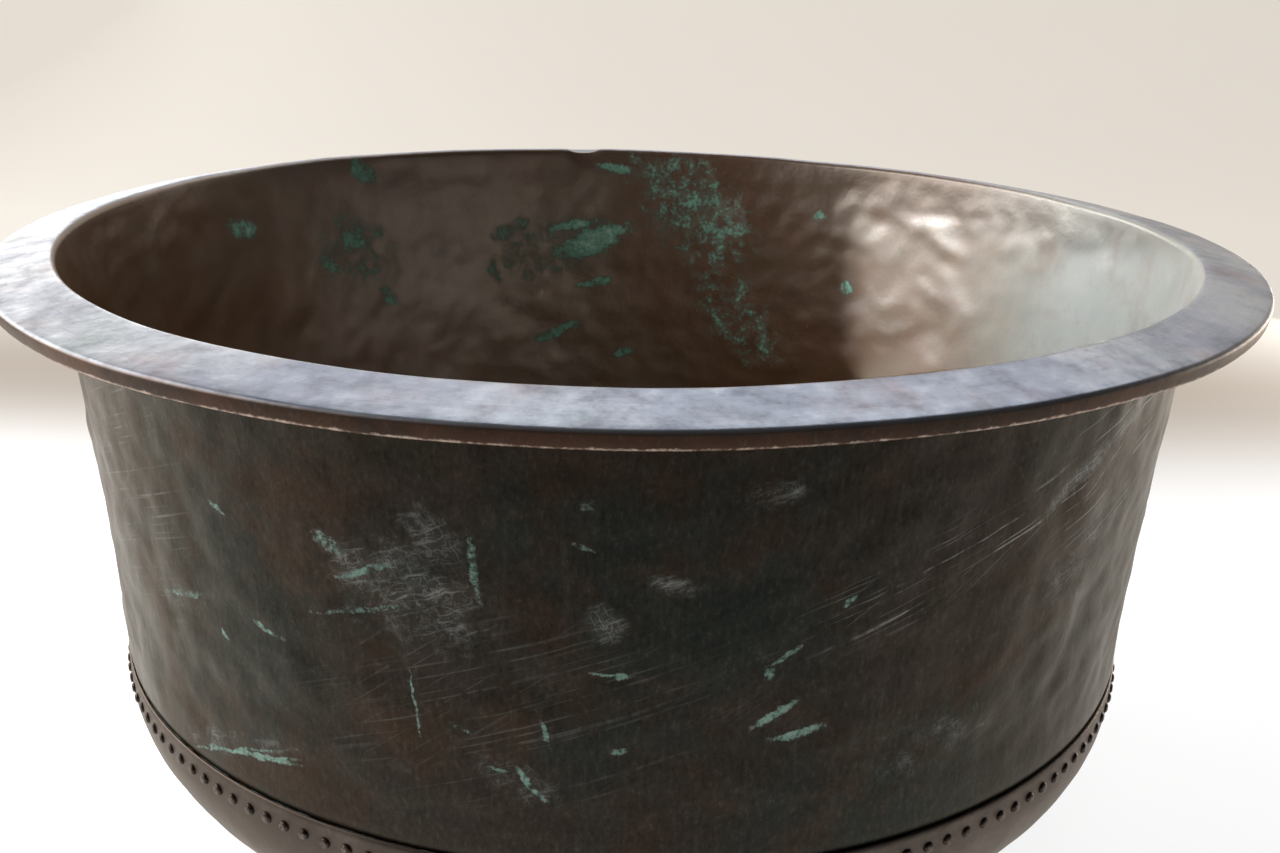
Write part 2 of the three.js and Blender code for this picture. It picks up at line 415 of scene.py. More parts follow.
OUTSIDE_STROKES = [
    (-77.3, 245, 17, 3.5, 38, 1.00),
    (-75.3, 230, 19, 3, 12, 1.00),
    (-78.2, 272, 5, 4, 50, 0.95),
    (-77, 283, 14, 2.5, 34, 0.75),
    (-90.7, 275, 13, 1.6, -3, 0.90),
    (-89.8, 274, 5, 3, -7, 1.00),
    (-89.8, 225, 7, 2, 8, 0.75),
    (-97.1, 199, 18, 2.5, -50, 0.85),
    (-99.8, 206, 8, 1.6, -8, 0.80),
    (-95.7, 233, 12, 2, -70, 0.85),
    (-102.6, 232, 8, 2.2, -28, 0.70),
    (-106.4, 241, 32, 1.2, -83, 0.85),
    (-125.5, 168, 55, 2.0, 15, 0.95),
    (-127.5, 165, 66, 1.4, 21, 0.85),
    (-122, 173, 30, 2.4, 12, 0.90),
    (-124.6, 340, 8, 2.4, -20, 0.85),
    (-120.9, 269, 16, 2.4, -14, 0.80),
    (-132, 267, 30, 3, 15, 0.75),
    (-126, 252, 5, 2, -65, 0.85),
    (-101, 337, 24, 3, -84, 0.80),
    (-110, 325, 27, 2.5, 22, 0.75),
    (-110.4, 300, 50, 2.2, 15, 0.70),
    (-113, 338, 12, 6, -20, 0.70),
    (-72.1, 315, 5, 2, 51, 0.85),
    (-92.5, 379, 5, 4, -48, 0.65),
    (-92.9, 354, 10, 2, -16, 0.65),
    (12, 280, 26, 3, 25, 0.85),
    (41, 330, 18, 5, -20, 0.85),
    (128, 250, 34, 2.5, 10, 0.85),
    (165, 320, 20, 6, 35, 0.85),
]
OUTSIDE_SCUFFS = [
    (-107, 318, 62, 40, -10, 0.62),
    (-104, 350, 30, 18, -60, 0.60),
    (-85.9, 333, 18, 7, -18, 0.62),
    (-91.2, 310, 15, 13, -30, 0.66),
    (-78.9, 386, 24, 9, 12, 0.62),
    (-98, 200, 36, 16, -30, 0.50),
    (-128, 170, 80, 12, 18, 0.50),
    (-131, 268, 44, 12, 15, 0.50),
    (-62, 205, 60, 30, 0, 0.42),
    (-45, 300, 70, 60, 20, 0.42),
    (-41, 394, 34, 9, 32, 0.80),
    (-49, 364, 42, 8, 30, 0.70),
    (20, 300, 90, 50, 10, 0.50),
    (60, 220, 80, 22, 0, 0.50),
    (125, 330, 80, 50, -15, 0.50),
    (168, 260, 60, 40, 0, 0.50),
]
SCRATCHED = [
    (-45, 378, 80, 26, 28, 1.00),
    (-60, 336, 110, 22, 20, 0.90),
    (-42, 330, 60, 70, 0, 0.60),
    (-140, 330, 70, 90, 0, 0.35),
    (-100, 250, 130, 60, 0, 0.16),
    (0, 300, 260, 110, 0, 0.22),
    (150, 300, 260, 110, 0, 0.22),
]
FILM_AND_SHEEN_MIDDLE = math.radians(-25)  # of the grey film inside, partly patina and partly a painted sheen where light falls
FILM_AND_SHEEN_EDGE = (38, 74)  # degrees from there, between which it thins out to nothing


def marked(angles, line, marks, facing=1):
    """How strongly each place is marked, from 0 to 1, with soft borders that the material breaks up."""
    strength = np.zeros((len(angles), len(line)))
    for degrees, height, half_length, half_width, tilt, most in marks:
        across = turn_between(angles, math.radians(degrees))[:, None] * facing * line[:, 0][None, :]
        up = line[:, 1][None, :] - height * MM
        turn = math.radians(tilt)
        lengthwise = (across * math.cos(turn) + up * math.sin(turn)) / (half_length * MM)
        crosswise = (up * math.cos(turn) - across * math.sin(turn)) / (half_width * MM)
        away = np.hypot(lengthwise, crosswise)
        strength = np.maximum(strength, most * (1 - smooth(away, 0.4, 1.5)))
    return strength


# ---------- Material kit ----------
ALONG_RINGS = 0.05  # how slowly a ring changes along its length, against across it


class Graph:
    """A material's nodes, written as expressions. Colours are linear red, green and blue."""

    def __init__(self, name):
        self.material = bpy.data.materials.new(name)
        self.material.use_nodes = True
        self.tree = self.material.node_tree
        self.shader = self.tree.nodes["Principled BSDF"]
        self.place = self.add("ShaderNodeTexCoord").outputs["Object"]

    def add(self, kind, **settings):
        node = self.tree.nodes.new(kind)
        for name, value in settings.items():
            setattr(node, name, value)
        return node

    def wire(self, value, socket):
        if isinstance(value, bpy.types.NodeSocket):
            self.tree.links.new(value, socket)
        else:
            socket.default_value = value

    def noise(self, scale, detail=4.0, roughness=0.55, stretch=(1, 1, 1), turn=0.0, place=None):
        mapping = self.add("ShaderNodeMapping", vector_type="TEXTURE")
        self.wire(place or self.place, mapping.inputs["Vector"])
        mapping.inputs["Scale"].default_value = stretch
        mapping.inputs["Rotation"].default_value = (0, 0, turn)
        node = self.add("ShaderNodeTexNoise")
        self.wire(mapping.outputs["Vector"], node.inputs["Vector"])
        for name, value in (("Scale", scale), ("Detail", detail), ("Roughness", roughness)):
            node.inputs[name].default_value = value
        return node.outputs["Fac"]

    def maths(self, operation, first, second=0.0):
        node = self.add("ShaderNodeMath", operation=operation)
        self.wire(first, node.inputs[0])
        self.wire(second, node.inputs[1])
        return node.outputs[0]

    def step(self, value, low, high, to_low=0.0, to_high=1.0):
        node = self.add("ShaderNodeMapRange", interpolation_type="SMOOTHSTEP")
        for name, number in (("Value", value), ("From Min", low), ("From Max", high)):
            self.wire(number, node.inputs[name])
        self.wire(to_low, node.inputs["To Min"])
        self.wire(to_high, node.inputs["To Max"])
        return node.outputs["Result"]

    def mix(self, factor, first, second):
        node = self.add("ShaderNodeMix", data_type="RGBA")
        self.wire(factor, node.inputs["Factor"])
        for value, socket in ((first, node.inputs[6]), (second, node.inputs[7])):
            shown = value if isinstance(value, bpy.types.NodeSocket) else (*value, 1.0)
            self.wire(shown, socket)
        return node.outputs[2]

    def layer(self, under, mask, most, over):
        """A colour laid over another, as strongly as the mask allows, up to the most."""
        return self.mix(self.maths("MULTIPLY", mask, most), under, over)

    def around_zero(self, value, reach):
        """Noise that swings to both sides of zero."""
        return self.maths("MULTIPLY", self.maths("SUBTRACT", value, 0.5), reach)

    def mix_numbers(self, factor, first, second):
        node = self.add("ShaderNodeMix", data_type="FLOAT")
        self.wire(factor, node.inputs["Factor"])
        self.wire(first, node.inputs[2])
        self.wire(second, node.inputs[3])
        return node.outputs[0]

    def value(self, name):
        return self.add("ShaderNodeAttribute", attribute_name=name).outputs["Fac"]

    def unrolled(self, facing):
        """The wall laid flat: distance to the right of the front (or of the back, inside), then height."""
        split = self.add("ShaderNodeSeparateXYZ")
        self.wire(self.place, split.inputs[0])
        ahead = self.maths("MULTIPLY", split.outputs["Y"], float(facing))
        angle = self.maths("ARCTAN2", split.outputs["X"], ahead)
        joined = self.add("ShaderNodeCombineXYZ")
        self.wire(self.maths("MULTIPLY", angle, FLAT_WALL_RADIUS), joined.inputs["X"])
        self.wire(split.outputs["Z"], joined.inputs["Y"])
        return joined.outputs[0]

    def unsteady(self, place, scale, reach):
        """A flat place, moved a little each way by noise."""
        node = self.add("ShaderNodeTexNoise")
        self.wire(place, node.inputs["Vector"])
        node.inputs["Scale"].default_value = scale
        node.inputs["Detail"].default_value = 3
        centred = self.add("ShaderNodeVectorMath", operation="SUBTRACT")
        self.wire(node.outputs["Color"], centred.inputs[0])
        centred.inputs[1].default_value = (0.5, 0.5, 0.5)
        scaled = self.add("ShaderNodeVectorMath", operation="MULTIPLY")
        self.wire(centred.outputs[0], scaled.inputs[0])
        scaled.inputs[1].default_value = (2 * reach, 2 * reach, 0)
        moved = self.add("ShaderNodeVectorMath", operation="ADD")
        self.wire(place, moved.inputs[0])
        self.wire(scaled.outputs[0], moved.inputs[1])
        return moved.outputs[0]

    def strokes(self, place, marks, middle, facing):
        """Strength of the strongest of many small marks at a flat place, with soft borders."""
        strongest = 0.0
        for degrees, height, half_length, half_width, tilt, most in marks:
            away = turn_between(math.radians(degrees), math.radians(middle)) * facing
            mapping = self.add("ShaderNodeMapping", vector_type="TEXTURE")
            self.wire(place, mapping.inputs["Vector"])
            mapping.inputs["Location"].default_value = (away * FLAT_WALL_RADIUS, height * MM, 0)
            mapping.inputs["Rotation"].default_value = (0, 0, math.radians(tilt))
            mapping.inputs["Scale"].default_value = (half_length * MM, half_width * MM, 1)
            length = self.add("ShaderNodeVectorMath", operation="LENGTH")
            self.wire(mapping.outputs["Vector"], length.inputs[0])
            here = self.step(length.outputs["Value"], 1.6, 0.4, 0.0, most)
            strongest = self.maths("MAXIMUM", strongest, here)
        return strongest

    def away_from_axis(self):
        split = self.add("ShaderNodeSeparateXYZ")
        self.wire(self.place, split.inputs[0])
        square = self.maths("MULTIPLY", split.outputs["X"], split.outputs["X"])
        square = self.maths("ADD", square, self.maths("MULTIPLY", split.outputs["Y"], split.outputs["Y"]))
        return self.maths("SQRT", square)

    def round_rings(self, radius):
        """A place that changes fast with the distance from the axis and slowly round it."""
        mapping = self.add("ShaderNodeMapping")
        self.wire(self.place, mapping.inputs["Vector"])
        mapping.inputs["Scale"].default_value = (ALONG_RINGS, ALONG_RINGS, ALONG_RINGS)
        split = self.add("ShaderNodeSeparateXYZ")
        self.wire(mapping.outputs["Vector"], split.inputs[0])
        joined = self.add("ShaderNodeCombineXYZ")
        self.wire(split.outputs["X"], joined.inputs["X"])
        self.wire(split.outputs["Y"], joined.inputs["Y"])
        self.wire(radius, joined.inputs["Z"])
        return joined.outputs[0]

    def finish(self, colour, roughness, metallic, height, strength, distance):
        self.wire(colour, self.shader.inputs["Base Color"])
        self.wire(roughness, self.shader.inputs["Roughness"])
        self.wire(metallic, self.shader.inputs["Metallic"])
        bump = self.add("ShaderNodeBump")
        bump.inputs["Strength"].default_value = strength
        bump.inputs["Distance"].default_value = distance
        self.wire(height, bump.inputs["Height"])
        self.wire(bump.outputs[0], self.shader.inputs["Normal"])
        return self.material


# Colours, as linear red, green and blue.
BROWN_BLACK = (0.032, 0.0255, 0.0200)
GREEN_BLACK = (0.0235, 0.0265, 0.0222)
RED_BROWN = (0.043, 0.0265, 0.0175)
OLIVE = (0.034, 0.031, 0.020)
GREY_BROWN = (0.090, 0.078, 0.066)
SOOT = (0.009, 0.008, 0.007)
INNER_BROWN = (0.140, 0.054, 0.014)
INNER_DARK = (0.078, 0.032, 0.010)
INNER_PALE = (0.140, 0.078, 0.038)
# Grey film inside: partly patina, partly a painted sheen on the right where light falls.
GREY_FILM_AND_SHEEN = (0.27, 0.275, 0.25)
LAVENDER = (0.265, 0.29, 0.35)
PALE_GREY = (0.36, 0.385, 0.43)
ROSE = (0.28, 0.24, 0.265)
SEA_GREY = (0.20, 0.255, 0.265)
FLANGE_SHADE = (0.12, 0.12, 0.14)
HEM_BROWN = (0.062, 0.026, 0.013)
HEM_DARK = (0.026, 0.014, 0.009)
# Bare copper on the hem's edges: partly wear, partly a painted highlight.
BARE_COPPER_AND_HIGHLIGHT = (0.62, 0.47, 0.38)
FLANGE_BRIGHT = (0.42, 0.44, 0.47)
PAN_BROWN = (0.065, 0.048, 0.038)
PAN_TAUPE = (0.12, 0.095, 0.078)
RIVET_DARK = (0.025, 0.018, 0.014)
RIVET_BROWN = (0.070, 0.048, 0.036)
RIVET_WORN = (0.22, 0.17, 0.14)
IRON_DARK = (0.030, 0.020, 0.016)
RUST = (0.110, 0.042, 0.018)
SOLDER_DARK = (0.06, 0.06, 0.055)
SOLDER_PALE = (0.16, 0.19, 0.17)
TEAL = (0.20, 0.55, 0.40)
PALE_TEAL = (0.60, 0.95, 0.80)
DEEP_GREEN = (0.040, 0.095, 0.060)
SCUFF = (0.055, 0.088, 0.079)
SCRATCH = (0.150, 0.157, 0.146)
SCUFF_TEAL = (0.045, 0.235, 0.175)
EDGE_TINT = (0.95, 0.89, 0.82)  # of the shine seen at a low angle

TARNISH_IOR = 2.6  # copper oxide
INNER_METAL = 0.15


def add_verdigris(g, colour, roughness, amount):
    """Crusts where the given amount is high, broken up by noise, each with a darker halo."""
    grain = g.noise(260, 4, 0.7)
    broad = g.noise(70, 5, 0.7)
    body = g.maths("ADD", amount, g.around_zero(broad, 2.2))
    body = g.maths("ADD", body, g.around_zero(grain, 1.4))
    there = g.step(amount, 0.03, 0.30)
    halo = g.maths("MULTIPLY", g.step(body, 0.10, 0.60), there)
    crust = g.maths("MULTIPLY", g.step(body, 0.42, 0.85), there)
    colour = g.layer(colour, halo, 0.75, DEEP_GREEN)
    colour = g.layer(colour, crust, 0.9, g.mix(g.step(body, 0.80, 1.40), TEAL, PALE_TEAL))
    rough = g.mix_numbers(halo, roughness, 0.65)
    metallic = g.maths("SUBTRACT", INNER_METAL, g.maths("MULTIPLY", halo, INNER_METAL))
    return colour, g.mix_numbers(crust, rough, 0.9), metallic, crust


def inner_copper(g):
    """Colour and roughness of the inside faces: brown tarnish, which shines grey, dulled in patches."""
    fine = g.noise(300, 4, 0.7)
    colour = g.mix(g.step(g.noise(7, 4, 0.6), 0.40, 0.62), INNER_BROWN, INNER_PALE)
    dulled = g.step(g.noise(26, 5, 0.7), 0.50, 0.75)
    colour = g.layer(colour, dulled, 0.6, INNER_DARK)
    colour = g.layer(colour, g.step(fine, 0.50, 0.75), 0.4, INNER_DARK)
    return colour, g.mix_numbers(dulled, 0.36, 0.46)


def wall_material():
    g = Graph("wall_copper")
    inside = g.value("inside")
    flange = g.value("flange")
    hem = g.value("hem")
    flat = g.unrolled(facing=-1)
    wobbly = g.unsteady(flat, 90, 3.5 * MM)

    # Outside: near-black patina, redder in patches, with a fine upright grain.
    broad = g.noise(5, 3, 0.5)
    patches = g.noise(15, 5, 0.65)
    fine = g.noise(330, 3, 0.75, stretch=(1, 1, 2))
    specks = g.noise(120, 5, 0.75)
    upright = g.noise(150, 4, 0.7, stretch=(1, 1, 14))
    outside = g.mix(g.step(broad, 0.40, 0.64), BROWN_BLACK, GREEN_BLACK)
    outside = g.layer(outside, g.step(patches, 0.46, 0.70), 0.8, RED_BROWN)
    outside = g.layer(outside, g.step(broad, 0.42, 0.30), 0.7, OLIVE)
    outside = g.layer(outside, g.step(upright, 0.50, 0.85), 0.25, GREY_BROWN)
    outside = g.layer(outside, g.step(specks, 0.55, 0.80), 0.40, GREY_BROWN)
    outside = g.layer(outside, g.step(fine, 0.50, 0.80), 0.40, GREY_BROWN)
    outside = g.layer(outside, g.step(fine, 0.50, 0.25), 0.5, SOOT)
    outside_rough = g.mix_numbers(g.step(patches, 0.3, 0.7), 0.33, 0.45)

    # Dull scuffs, and blue-green strokes where something dragged.
    scuff = g.value("scuff")
    rising = g.noise(420, 3, 0.6, stretch=(14, 1, 1), turn=math.radians(20), place=wobbly)
    falling = g.noise(420, 3, 0.6, stretch=(9, 1, 1), turn=math.radians(-62), place=wobbly)
    contour = g.maths("ABSOLUTE", g.maths("SUBTRACT", g.noise(75, 4, 0.7, place=flat), 0.5))
    curled = g.maths("MULTIPLY", g.step(contour, 0.035, 0.0), 0.7)
    falling = g.maths("MULTIPLY", g.step(falling, 0.54, 0.68), 0.8)
    hatched = g.maths("MAXIMUM", g.step(rising, 0.50, 0.66), falling)
    hatched = g.maths("MAXIMUM", hatched, curled)
    scuffed = g.maths("ADD", scuff, g.around_zero(g.noise(40, 5, 0.75), 1.6))
    scuffed = g.maths("MULTIPLY", g.step(scuffed, 0.30, 1.00), g.step(scuff, 0.03, 0.35))
    scuffed = g.maths("MULTIPLY", scuffed, g.maths("ADD", 0.18, hatched))
    outside = g.layer(outside, scuffed, 0.50, SCUFF)
    stroke = g.strokes(wobbly, OUTSIDE_STROKES, middle=-90, facing=1)
    broken = g.noise(240, 4, 0.8, place=wobbly)
    struck = g.maths("ADD", stroke, g.around_zero(specks, 1.6))
    struck = g.maths("ADD", struck, g.around_zero(broken, 2.2))
    struck = g.maths("MULTIPLY", g.step(struck, 0.45, 1.25), g.step(stroke, 0.0, 0.5))
    stroke_colour = g.mix(g.step(stroke, 0.45, 0.80), SCUFF, SCUFF_TEAL)
    outside = g.layer(outside, struck, 0.85, stroke_colour)

    # Long thin scratches that rise to the right.
    leaning = g.noise(420, 2, 0.5, stretch=(60, 1, 1), turn=math.radians(20), place=flat)
    crossing = g.noise(420, 2, 0.5, stretch=(60, 1, 1), turn=math.radians(38), place=flat)
    crossing = g.maths("MULTIPLY", g.step(crossing, 0.61, 0.72), 0.7)
    lines = g.maths("MAXIMUM", g.step(leaning, 0.57, 0.68), crossing)
    scratches = g.maths("MULTIPLY", lines, g.value("scratch"))
    scratches = g.maths("MULTIPLY", scratches, g.step(g.noise(35, 4, 0.7), 0.40, 0.60))
    outside = g.layer(outside, scratches, 0.85, SCRATCH)
    dulled = g.maths("MAXIMUM", g.maths("MAXIMUM", scuffed, struck), scratches)

    # Inside: brown, with a grey film on the right and verdigris. The film is partly patina and partly a
    # painted sheen, lighter where light falls.
    inner, inner_rough = inner_copper(g)
    # The grey film lightens the inside on the right: partly patina, partly a painted sheen.
    filmed = g.maths("MULTIPLY", g.value("film"), g.step(g.noise(22, 5, 0.7), 0.25, 0.55, 0.55, 0.95))
    inner = g.mix(filmed, inner, GREY_FILM_AND_SHEEN)
    behind = g.unsteady(g.unrolled(facing=1), 60, 5 * MM)
    spots = g.strokes(behind, VERDIGRIS_SPOTS, middle=90, facing=-1)
    amount = g.maths("MAXIMUM", spots, g.value("verdigris"))
    inner, inner_rough, inner_metal, crust = add_verdigris(g, inner, inner_rough, amount)

    colour = g.mix(inside, outside, inner)
    roughness = g.mix_numbers(inside, outside_rough, inner_rough)
    outer_metal = g.maths("SUBTRACT", 1.0, g.maths("MULTIPLY", dulled, 0.8))
    metallic = g.mix_numbers(inside, outer_metal, inner_metal)

    # Flange: rubbed to a pale blue-grey sheen, with faint rings.
    ringed = g.noise(420, 3, 0.6, place=g.round_rings(g.away_from_axis()))
    cloud = g.noise(9, 4, 0.55)
    tinge = g.noise(15, 4, 0.6)
    mottle = g.noise(48, 5, 0.7)
    tint = g.mix(g.step(cloud, 0.38, 0.62), LAVENDER, PALE_GREY)
    tint = g.layer(tint, g.step(tinge, 0.54, 0.74), 0.8, ROSE)
    tint = g.layer(tint, g.step(tinge, 0.46, 0.28), 0.8, SEA_GREY)
    tint = g.layer(tint, g.step(ringed, 0.50, 0.75), 0.18, FLANGE_SHADE)
    tint = g.layer(tint, g.step(mottle, 0.48, 0.72), 0.30, FLANGE_SHADE)
    tint = g.layer(tint, g.step(mottle, 0.46, 0.28), 0.35, FLANGE_BRIGHT)
    tint = g.layer(tint, g.step(specks, 0.56, 0.75), 0.45, FLANGE_SHADE)
    rubbed = g.maths("MULTIPLY", flange, g.step(g.noise(50, 5, 0.7), 0.20, 0.32))
    colour = g.mix(rubbed, colour, tint)
    roughness = g.mix_numbers(rubbed, roughness, g.mix_numbers(g.step(mottle, 0.3, 0.7), 0.36, 0.50))
    metallic = g.mix_numbers(rubbed, metallic, 1.0)

    # Hem: red-brown, with its lower edge, and more weakly its upper corner, bare copper in places: partly
    # rubbed wear, partly a painted highlight.
    hem_colour = g.mix(g.step(patches, 0.40, 0.65), HEM_BROWN, HEM_DARK)
    hem_colour = g.layer(hem_colour, g.step(fine, 0.50, 0.80), 0.5, GREY_BROWN)
    # Bare copper along the hem's lower edge and upper corner: partly wear, partly a painted highlight.
    knocks_and_highlight = g.maths("ADD", g.value("edge"), g.around_zero(specks, 1.6))
    knocks_and_highlight = g.maths("MULTIPLY", g.step(knocks_and_highlight, 0.75, 1.15), g.step(g.value("edge"), 0.1, 0.3))
    hem_colour = g.layer(hem_colour, knocks_and_highlight, 0.7, BARE_COPPER_AND_HIGHLIGHT)
    colour = g.mix(hem, colour, hem_colour)
    roughness = g.mix_numbers(hem, roughness, 0.45)
    metallic = g.mix_numbers(hem, metallic, 0.9)

    height = g.maths("ADD", g.maths("MULTIPLY", fine, 0.25), g.maths("MULTIPLY", specks, 0.35))
    height = g.maths("ADD", height, g.maths("MULTIPLY", g.noise(75, 3, 0.5), 2.0))
    height = g.maths("ADD", height, g.maths("MULTIPLY", crust, 0.3))
    g.shader.inputs["IOR"].default_value = TARNISH_IOR
    g.shader.inputs["Specular Tint"].default_value = (*EDGE_TINT, 1)
    return g.finish(colour, roughness, metallic, height, 0.45, 0.5 * MM)


def pan_material():
    g = Graph("pan_copper")
    inside = g.value("inside")
    patches = g.noise(14, 5, 0.6)
    fine = g.noise(260, 4, 0.7)
    specks = g.noise(120, 5, 0.7)
    outside = g.mix(g.step(patches, 0.4, 0.7), PAN_BROWN, PAN_TAUPE)
    outside = g.layer(outside, g.step(fine, 0.4, 0.7), 0.35, BROWN_BLACK)
    outside = g.layer(outside, g.step(specks, 0.55, 0.72), 0.4, GREY_BROWN)
    outside = g.layer(outside, g.value("soot"), 0.85, SOOT)
    inner, inner_rough = inner_copper(g)
    inner, inner_rough, inner_metal, _ = add_verdigris(g, inner, inner_rough, g.value("verdigris"))
    colour = g.mix(inside, outside, inner)
    roughness = g.mix_numbers(inside, 0.46, inner_rough)
    metallic = g.mix_numbers(inside, 0.9, inner_metal)
    height = g.maths("ADD", g.maths("MULTIPLY", fine, 0.35), g.maths("MULTIPLY", patches, 0.8))
    g.shader.inputs["IOR"].default_value = TARNISH_IOR
    g.shader.inputs["Specular Tint"].default_value = (*EDGE_TINT, 1)
    return g.finish(colour, roughness, metallic, height, 0.45, 0.5 * MM)


def rivet_material():
    g = Graph("rivet_copper")
    worn = g.noise(420, 4, 0.6)
    colour = g.mix(g.step(worn, 0.35, 0.7), RIVET_DARK, RIVET_BROWN)
    rubbed = g.maths("MULTIPLY", g.value("crown"), g.step(worn, 0.3, 0.6))
    colour = g.mix(rubbed, colour, RIVET_WORN)
    return g.finish(colour, g.mix_numbers(worn, 0.32, 0.55), 0.9, worn, 0.3, 0.2 * MM)


def iron_material():
    g = Graph("hoop_iron")
    rust = g.noise(90, 6, 0.7)
    colour = g.mix(g.step(rust, 0.35, 0.65), IRON_DARK, RUST)
    return g.finish(colour, g.mix_numbers(rust, 0.7, 0.95), 0.2, rust, 0.6, 0.5 * MM)


def solder_material():
    g = Graph("solder")
    dull = g.noise(130, 5, 0.6)
    colour = g.mix(g.step(dull, 0.35, 0.65), SOLDER_DARK, SOLDER_PALE)
    return g.finish(colour, g.mix_numbers(dull, 0.45, 0.75), 0.5, dull, 0.4, 0.3 * MM)


# ---------- Pieces ----------
def make_side_wall():
    """The wall with its flange and hem, and the values that say where each look belongs."""
    line, ends = wall_line()
    angles = angles_round(AROUND)
    grid = sheet_points(line, angles, wall_shift(line, ends, angles))
    columns, rows = grid.shape[:2]
    faces = ring_faces(columns, rows, True)
    piece = add_mesh("side_wall_sheet", grid.reshape(-1, 3), faces, wall_material())

    length = lengths(line)
    none = np.zeros(len(line))
    all_over = np.ones(len(line))
    on_flange = smooth(length, ends["roll"] - 4.0 * MM, ends["roll"] - 2.5 * MM)
    past_fold = smooth(length, ends["upper fold"] - 2.5 * MM, ends["upper fold"] - 0.5 * MM)
    edge_width = 2 * MM
    upper_edge = np.exp(-(((length - ends["upper fold"] + 1.5 * MM) / edge_width) ** 2))
    lower_edge = np.exp(-(((length - ends["lower fold"] + 2.5 * MM) / edge_width) ** 2))
    inside_marks = marked(angles, line, VERDIGRIS_FIELDS, facing=-1)
    outside_marks = marked(angles, line, OUTSIDE_SCUFFS)
    scratch_marks = marked(angles, line, SCRATCHED)
    blank = np.zeros((columns, 1))
    # The grey film covers the right of the inside, where light falls: partly patina, partly a painted
    # sheen.
    from_film = np.degrees(np.abs(turn_between(angles, FILM_AND_SHEEN_MIDDLE)))
    film = np.broadcast_to(1 - smooth(from_film, *FILM_AND_SHEEN_EDGE)[:, None], inside_marks.shape)
    give_values(
        piece,
        inside=round_section(none, 0.5, all_over, 0.5, columns),
        flange=round_section(none, 0, on_flange * (1 - past_fold), 0, columns),
        hem=round_section(on_flange, 1, past_fold, 0, columns),
        # edge marks the hem's lower edge and upper corner for bare copper: partly wear, partly a painted
        # highlight.
        edge=round_section(none, 0, np.maximum(0.5 * upper_edge, lower_edge), 0, columns),
        verdigris=np.hstack([0 * inside_marks, blank, inside_marks[:, ::-1], blank]),
        film=np.hstack([0 * film, blank, film, blank]),
        scuff=np.hstack([outside_marks, blank, 0 * outside_marks, blank]),
        scratch=np.hstack([scratch_marks, blank, 0 * scratch_marks, blank]),
    )
    return piece


def make_bottom_pan():
    """The pan, closed at its centre by a small flat face on each side."""
    line = pan_line()
    angles = angles_round(AROUND)
    grid = sheet_points(line, angles, pan_shift(line, angles), strained=False)[:, :-1]
    grid[:, :, 2] = np.maximum(grid[:, :, 2], 0)
    columns, rows = grid.shape[:2]
    faces = ring_faces(columns, rows, False) + end_caps(columns, rows, 0)
    piece = add_mesh("bottom_pan_sheet", grid.reshape(-1, 3), faces, pan_material())
    none = np.zeros(len(line))
    soot = 1 - smooth(line[:, 1], 0.02, 0.10)
    give_values(
        piece,
        inside=round_section(none, 0.5, none + 1, 0.5, columns)[:, :-1],
        soot=round_section(soot, 1, none, 1, columns)[:, :-1],
        verdigris=round_section(none, 0, 0.32 - 0.1 * soot, 0, columns)[:, :-1],
    )
    return piece


def rivet_outline(chance):
    """Distances from the rivet's axis, and places along it, from its tail inside to its head outside."""
    seat = PAN_RADIUS - 0.2 * MM
    tail = LAP_RADIUS - SHEET + 0.1 * MM
    wide = HEAD_RADIUS * chance.uniform(0.86, 0.96)
    high = HEAD_HEIGHT * chance.uniform(0.82, 1.0)
    tail_wide = TAIL_RADIUS * chance.uniform(0.85, 1.0)
    flattened = chance.uniform(0.80, 0.95)
    tail_rings = [(0.72, -1.0), (0.93, -0.75), (1.0, -0.35), (0.96, 0.0)]
    rings = [(tail_wide * r, tail + TAIL_HEIGHT * x) for r, x in tail_rings]
    rings += [(SHANK_RADIUS, tail + 0.2 * MM), (SHANK_RADIUS, seat - 0.2 * MM)]
    rings += [(wide * 0.97, seat), (wide, seat + 0.18 * high)]
    for degrees in (22, 42, 60, 76):
        lift = min(math.sin(math.radians(degrees)), flattened)
        rings.append((wide * math.cos(math.radians(degrees)), seat + high * (0.18 + 0.82 * lift)))
    top = seat + high * (0.18 + 0.82 * flattened) + 0.02 * MM
    return np.array([(AXIS_HOLE, tail - TAIL_HEIGHT)] + rings + [(AXIS_HOLE, top)])


def make_rivets():
    """The whole row as one piece of separate solids."""
    chance = np.random.RandomState(23)
    sides = RIVET_SIDES
    turn = angles_round(sides)
    stray = 0.5 * MM
    points, faces, crown = [], [], []
    for k in range(RIVET_COUNT):
        outline = rivet_outline(chance)
        angle = (k + 0.5) * 2 * math.pi / RIVET_COUNT + chance.uniform(-1, 1) * stray / PAN_RADIUS
        height = RIVET_HEIGHT + chance.uniform(-1, 1) * stray
        out = np.array([math.cos(angle), math.sin(angle), 0])
        side = np.array([-out[1], out[0], 0])
        up = np.array([0, 0, 1])
        lobes = 1 + 0.03 * np.cos(3 * turn + chance.uniform(0, 6)) * chance.uniform(0, 1)
        ring = (np.cos(turn)[:, None] * side + np.sin(turn)[:, None] * up) * lobes[:, None]
        grid = outline[None, :, 1, None] * out + outline[None, :, 0, None] * ring[:, None, :]
        grid = grid + np.array([0, 0, height])
        start = len(points) * sides * len(outline)
        points.append(grid.reshape(-1, 3))
        rows = len(outline)
        faces += [tuple(start + v for v in face) for face in ring_faces(sides, rows, False)]
        faces += end_caps(sides, rows, start)
        head = smooth(outline[:, 1], PAN_RADIUS + 0.5 * HEAD_HEIGHT, PAN_RADIUS + HEAD_HEIGHT)
        crown.append(np.broadcast_to(head, (sides, rows)).ravel())
    piece = add_mesh("rivet_row", np.concatenate(points), faces, rivet_material())
    give_values(piece, crown=np.concatenate(crown))
    return piece


